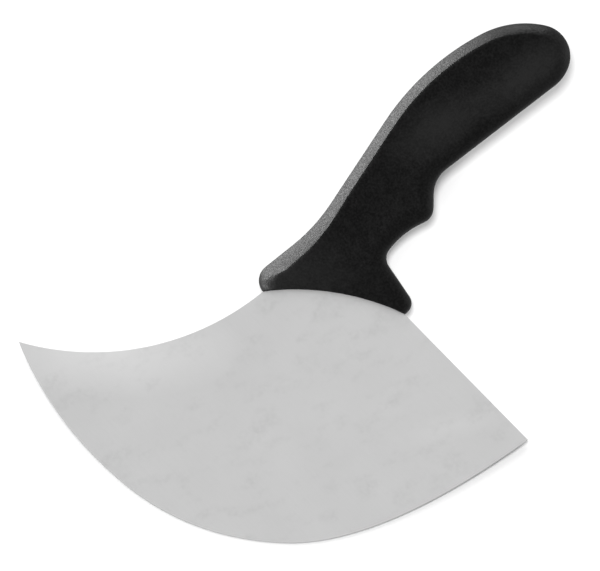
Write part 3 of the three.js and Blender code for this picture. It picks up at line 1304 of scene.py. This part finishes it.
@dataclass(frozen=True)
class GrainedPlastic:
    """Black moulded plastic: fine spark-eroded grain, pale specks on its peaks, slight blotches and painted
    sheen.
    """

    dark: Triple = (0.0005, 0.0005, 0.0005)
    pale: Triple = (0.012, 0.012, 0.012)
    speck_range: Pair = (0.35, 0.7)
    speck_share: float = 0.5
    blotch_share: float = 0.12
    # Painted sheen: paler ovals on the face by the guard, on the palm and on the butt, standing in for light
    # on the face
    painted_sheen_at_guard: Patch = Patch((-0.0027, -0.0047), (0.034, 0.024), math.radians(9), 0.7)
    painted_sheen_on_palm: Patch = Patch((0.0516, 0.0674), (0.029, 0.013), math.radians(45), 0.85)
    painted_sheen_on_butt: Patch = Patch((0.0850, 0.0955), (0.034, 0.0115), math.radians(45), 0.9)
    roughness: float = 0.5
    roughness_spread: float = 0.06
    gloss_level: float = 0.08
    grain: Pattern = Pattern(1100, 2)
    grain_depth: float = 1.4e-4
    grain_strength: float = 1.0
    blotch: Pattern = Pattern(220, 3)

    def material(self) -> bpy.types.Material:
        """Makes the material.

        Returns:
            The material.
        """
        bench = Bench("grained_plastic")
        grain = bench.noise(bench.place, self.grain)
        blotch = bench.noise(bench.place, self.blotch)
        specks = bench.spread(grain, self.speck_range, (0, self.speck_share))
        blotches = bench.sway(blotch, 0, self.blotch_share)
        shade = bench.sum(specks, blotches)
        # The three ovals paint sheen into the colour
        for sheen_patch in (self.painted_sheen_at_guard, self.painted_sheen_on_palm, self.painted_sheen_on_butt):
            shade = bench.sum(shade, bench.patch(sheen_patch))
        return bench.finish(
            Base_Color=bench.tint(shade, self.dark, self.pale),
            Roughness=bench.sway(grain, self.roughness, self.roughness_spread),
            Specular_IOR_Level=self.gloss_level,
            Normal=bench.relief(grain, self.grain_depth, self.grain_strength),
        )


@dataclass(frozen=True)
class PlainPlastic:
    """Dark unpolished plastic of the hidden core, with faint flow marks."""

    dark: Triple = (0.020, 0.020, 0.020)
    pale: Triple = (0.030, 0.030, 0.030)
    roughness: float = 0.55
    flow: Pattern = Pattern(120, 3)
    flow_stretch: Triple = (1.0, 6.0, 1.0)
    flow_depth: float = 2e-5
    flow_strength: float = 0.2

    def material(self) -> bpy.types.Material:
        """Makes the material.

        Returns:
            The material.
        """
        bench = Bench("plain_plastic")
        flow = bench.noise(bench.stretched(0, self.flow_stretch), self.flow)
        return bench.finish(
            Base_Color=bench.tint(flow, self.dark, self.pale),
            Roughness=self.roughness,
            Normal=bench.relief(flow, self.flow_depth, self.flow_strength),
        )


@dataclass(frozen=True)
class Core:
    """The first moulding round the tang, which stays as the frame gives it, inside the grip."""

    node: str = "handle_core"

    def dress(self, finish: PlainPlastic) -> bpy.types.Object:
        """Gives the core its finish.

        Args:
            finish: Its finish.

        Returns:
            The core.
        """
        piece = frame["nodes"][self.node]
        piece.data.materials.clear()
        piece.data.materials.append(finish.material())
        return piece


class Sees(Enum):
    """What a lamp lights: the matt part of a surface, or its gloss."""

    MATT = "matt"
    GLOSS = "gloss"


class Shade(Enum):
    """Which piece casts a lamp's shadow."""

    KNIFE = "the whole knife"
    BLADE = "the blade alone"


@dataclass(frozen=True)
class Softbox:
    """A soft rectangular lamp that faces the middle of the knife: angles in degrees, lengths in metres."""

    name: str
    bearing: float
    elevation: float
    distance: float
    width: float
    height: float
    power: float
    sees: Sees
    shade: Shade = Shade.KNIFE

    def build(self, target: Vector) -> bpy.types.Object:
        """Makes the lamp.

        Args:
            target: The point that it faces.

        Returns:
            The lamp.
        """
        data = bpy.data.lights.new(self.name, "AREA")
        data.shape = "RECTANGLE"
        data.size, data.size_y = self.width, self.height
        data.energy = self.power
        lamp = add_to_scene(self.name, data)
        bearing, elevation = math.radians(self.bearing), math.radians(self.elevation)
        flat = math.cos(elevation)
        out = Vector((flat * math.cos(bearing), flat * math.sin(bearing), math.sin(elevation)))
        lamp.location = target + out * self.distance
        lamp.rotation_euler = out.to_track_quat("Z", "Y").to_euler()
        lamp.visible_diffuse = self.sees is Sees.MATT
        lamp.visible_glossy = self.sees is Sees.GLOSS
        lamp.visible_camera = False
        return lamp


class Strip(NamedTuple):
    """A low strip lamp: its name, its bearing in degrees, its width in metres and its power in watts."""

    name: str
    bearing: float
    width: float
    power: float


@dataclass(frozen=True)
class Studio:
    """The plain pale surroundings: floor, soft light and white background."""

    overhead: Softbox = Softbox("overhead", 140, 83.5, 3.5, 0.66, 0.66, 80, Sees.MATT)
    slanting: Softbox = Softbox("slanting", 118, 46, 3.5, 2.6, 2.6, 72, Sees.MATT, Shade.BLADE)
    spine_gleam: Strip = Strip("spine_gleam", 148, 0.76, 47)
    shoulder_gleam: Strip = Strip("shoulder_gleam", 95, 0.3, 4.5)
    guard_gleam: Strip = Strip("guard_gleam", 204, 0.3, 16)
    heel_gleam: Strip = Strip("heel_gleam", 20, 0.5, 1.2)
    strip_elevation: float = 1.6
    strip_distance: float = 0.8
    strip_height: float = 0.04
    ambient: float = 0.3
    background: float = 1.0
    floor_reach: float = 3.0
    floor_colour: Triple = (0.9, 0.9, 0.9)
    floor_glow: float = 0.1

    def softboxes(self) -> list[Softbox]:
        """Lists the lamps: two that light and shade the knife, and low strips that make the grip gleam.

        Returns:
            The lamps.
        """
        strips = self.spine_gleam, self.shoulder_gleam, self.guard_gleam, self.heel_gleam
        gleams = [
            Softbox(
                name=strip.name,
                bearing=strip.bearing,
                elevation=self.strip_elevation,
                distance=self.strip_distance,
                width=strip.width,
                height=self.strip_height,
                power=strip.power,
                sees=Sees.GLOSS,
            )
            for strip in strips
        ]
        return [self.overhead, self.slanting, *gleams]

    def background_share(self, tree: bpy.types.NodeTree) -> Socket:
        """Finds whether a ray sees the background instead of its light.

        Args:
            tree: The nodes that need it.

        Returns:
            1 for camera, glossy and transmission rays, and 0 for the rest.
        """
        path = tree.nodes.new("ShaderNodeLightPath")
        share = path.outputs[RayKind.CAMERA.value]
        for kind in (RayKind.GLOSSY, RayKind.TRANSMISSION):
            most = tree.nodes.new("ShaderNodeMath")
            most.operation = "MAXIMUM"
            tree.links.new(share, most.inputs[0])
            tree.links.new(path.outputs[kind.value], most.inputs[1])
            share = most.outputs["Value"]
        return share

    def build_world(self) -> None:
        """Makes the surroundings: white where they are seen, dimmer where they light."""
        world = bpy.data.worlds.new("studio")
        world.use_nodes = True
        tree = world.node_tree
        tree.nodes.clear()
        light = tree.nodes.new("ShaderNodeBackground")
        light.inputs["Strength"].default_value = self.ambient
        seen = tree.nodes.new("ShaderNodeBackground")
        seen.inputs["Strength"].default_value = self.background
        for node in (light, seen):
            node.inputs["Color"].default_value = (1, 1, 1, 1)
        mix = tree.nodes.new("ShaderNodeMixShader")
        output = tree.nodes.new("ShaderNodeOutputWorld")
        tree.links.new(self.background_share(tree), mix.inputs["Fac"])
        tree.links.new(light.outputs["Background"], mix.inputs[1])
        tree.links.new(seen.outputs["Background"], mix.inputs[2])
        tree.links.new(mix.outputs["Shader"], output.inputs["Surface"])
        bpy.context.scene.world = world

    def floor_material(self) -> bpy.types.Material:
        """Makes the floor's pale paper, which is white where it is lit and keeps the shadow.

        Returns:
            The material.
        """
        bench = Bench("floor_paper")
        tree = bench.tree
        paper = bench.feed(bench.add("ShaderNodeBsdfDiffuse"), Color=(*self.floor_colour, 1))
        glow = bench.feed(bench.add("ShaderNodeEmission"), Strength=self.background)
        mix = bench.add("ShaderNodeMixShader")
        share = bench.add("ShaderNodeMath", operation="MULTIPLY")
        share.inputs[1].default_value = self.floor_glow
        tree.links.new(self.background_share(tree), share.inputs[0])
        tree.links.new(share.outputs["Value"], mix.inputs["Fac"])
        tree.links.new(paper.outputs["BSDF"], mix.inputs[1])
        tree.links.new(glow.outputs["Emission"], mix.inputs[2])
        output = bench.add("ShaderNodeOutputMaterial")
        tree.links.new(mix.outputs["Shader"], output.inputs["Surface"])
        return bench.material

    @staticmethod
    def group(name: str, piece: bpy.types.Object) -> bpy.types.Collection:
        """Puts a piece in a collection of its own, for a lamp that needs it.

        Args:
            name: The collection's name.
            piece: The piece.

        Returns:
            The collection.
        """
        collection = bpy.data.collections.new(name)
        collection.objects.link(piece)
        return collection

    def build(self, target: Vector, plate: bpy.types.Object, grip: bpy.types.Object) -> None:
        """Makes the surroundings, the floor and the lamps.

        Args:
            target: The point that the lamps face.
            plate: The blade, which alone shades the slanting lamp.
            grip: The handle's grip, which alone catches the gleam.
        """
        self.build_world()
        reach = self.floor_reach
        corners = np.array([[-reach, -reach, 0], [reach, -reach, 0], [reach, reach, 0], [-reach, reach, 0]])
        floor = make_piece("floor", corners, [(0, 1, 2, 3)])
        floor.data.materials.append(self.floor_material())
        gleaming, shading = self.group("gleaming", grip), self.group("shading", plate)
        for softbox in self.softboxes():
            lamp = softbox.build(target)
            if softbox.sees is Sees.GLOSS:
                lamp.light_linking.receiver_collection = gleaming
            if softbox.shade is Shade.BLADE:
                lamp.light_linking.blocker_collection = shading


@dataclass(frozen=True)
class Viewpoint:
    """The camera, square to the blade's face, far away with a long lens."""

    aim: Point = Point(-15.495, 5.044)
    span: float = 256.46
    roll: float = math.radians(9.0995)
    distance: float = 2.5
    clip_end: float = 10.0

    def build(self, lie: Lie) -> bpy.types.Object:
        """Makes the camera and gives it to the scene.

        Args:
            lie: Where the knife lies.

        Returns:
            The camera.
        """
        data = bpy.data.cameras.new("viewpoint")
        data.lens = data.sensor_width * self.distance / (self.span * MM)
        data.clip_end = self.clip_end
        camera = add_to_scene("viewpoint", data)
        turn = lie.to_frame.to_quaternion().to_matrix().to_4x4() @ Matrix.Rotation(self.roll, 4, "Z")
        target = lie.to_frame @ Vector((*self.aim, 0))
        camera.matrix_world = Matrix.Translation(target) @ turn @ Matrix.Translation((0, 0, self.distance))
        bpy.context.scene.camera = camera
        return camera


def report(piece: bpy.types.Object) -> None:
    """Says that a piece is made and dressed."""
    log.info("%s: %d faces", piece.name, len(piece.data.polygons))


def main() -> None:
    """Builds the knife piece by piece, then its surroundings."""
    logging.basicConfig(level=logging.INFO, format="%(name)s: %(message)s")
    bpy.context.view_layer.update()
    mount = next(m for m in frame["record"]["mounts"] if m["name"] == "blade_face")
    bolster, middle = BolsterLine(), MiddleLine()
    blade = Blade(bolster, middle)
    lie = Lie.from_mount(mount, blade.face_mount)
    plate = blade.build(lie)
    blade.dress(plate, SatinSteel(), GroundSteelAndShade())
    report(plate)
    handle = Handle(bolster, middle)
    grip = handle.build(lie)
    handle.dress(grip, GrainedPlastic())
    report(grip)
    core = Core().dress(PlainPlastic())
    report(core)
    Studio().build(lie.to_frame.translation, plate, grip)
    Viewpoint().build(lie)
    bpy.context.scene.view_settings.view_transform = "Standard"


if __name__ == "__main__":
    main()
